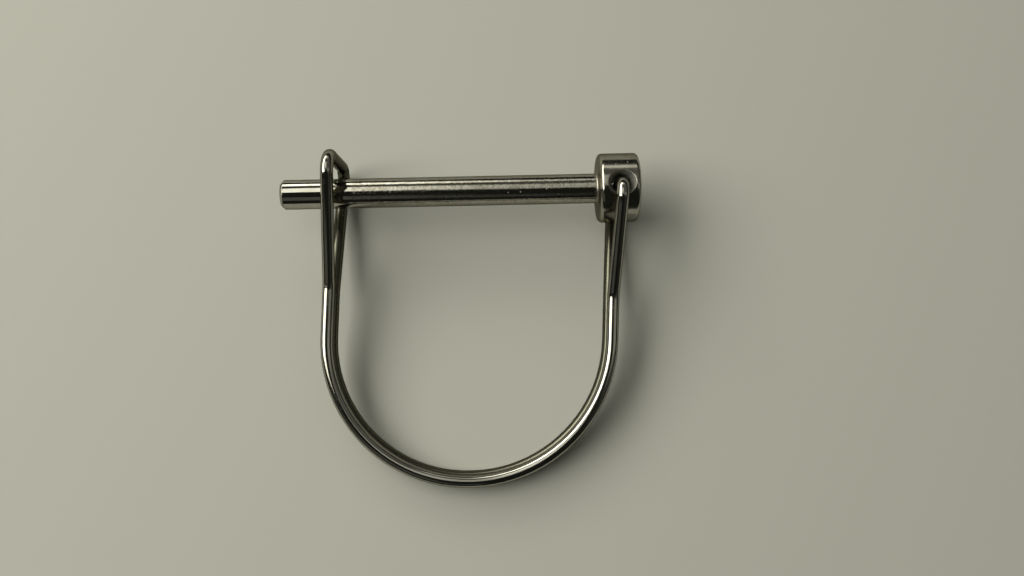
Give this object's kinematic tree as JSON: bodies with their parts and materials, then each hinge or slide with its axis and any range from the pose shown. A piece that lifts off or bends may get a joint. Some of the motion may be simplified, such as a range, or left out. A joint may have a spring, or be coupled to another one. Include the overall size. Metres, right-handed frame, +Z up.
{
  "type": "wheel pin",
  "caption": "Round lock pin with a cross-drilled head and a D-shaped double-wire bail whose closed loop catches over the shank.",
  "frame": {"origin": "centre of the head's shoulder, on the shank's axis", "axes": "-X along the shank from the shoulder to the tip, -Y towards the bottom of the D, +Z up from the surface that the part lies on"},
  "size_m": [0.072, 0.0679, 0.0201],
  "materials": {
    "polished_pin": "polished stainless steel, faint turning marks",
    "spring_wire": "polished stainless spring wire, drawn along its length"
  },
  "bodies": {
    "pin": {"pin": "polished_pin"},
    "bail": {"bail": "spring_wire"}
  },
  "joints": [
    {"name": "bail_swing", "type": "hinge", "parent": "pin", "child": "bail", "pos_m": [0.0042, 0, 0], "axis": [0, -0.1239, 0.9923], "range_deg": [-9, 2]}
  ]
}
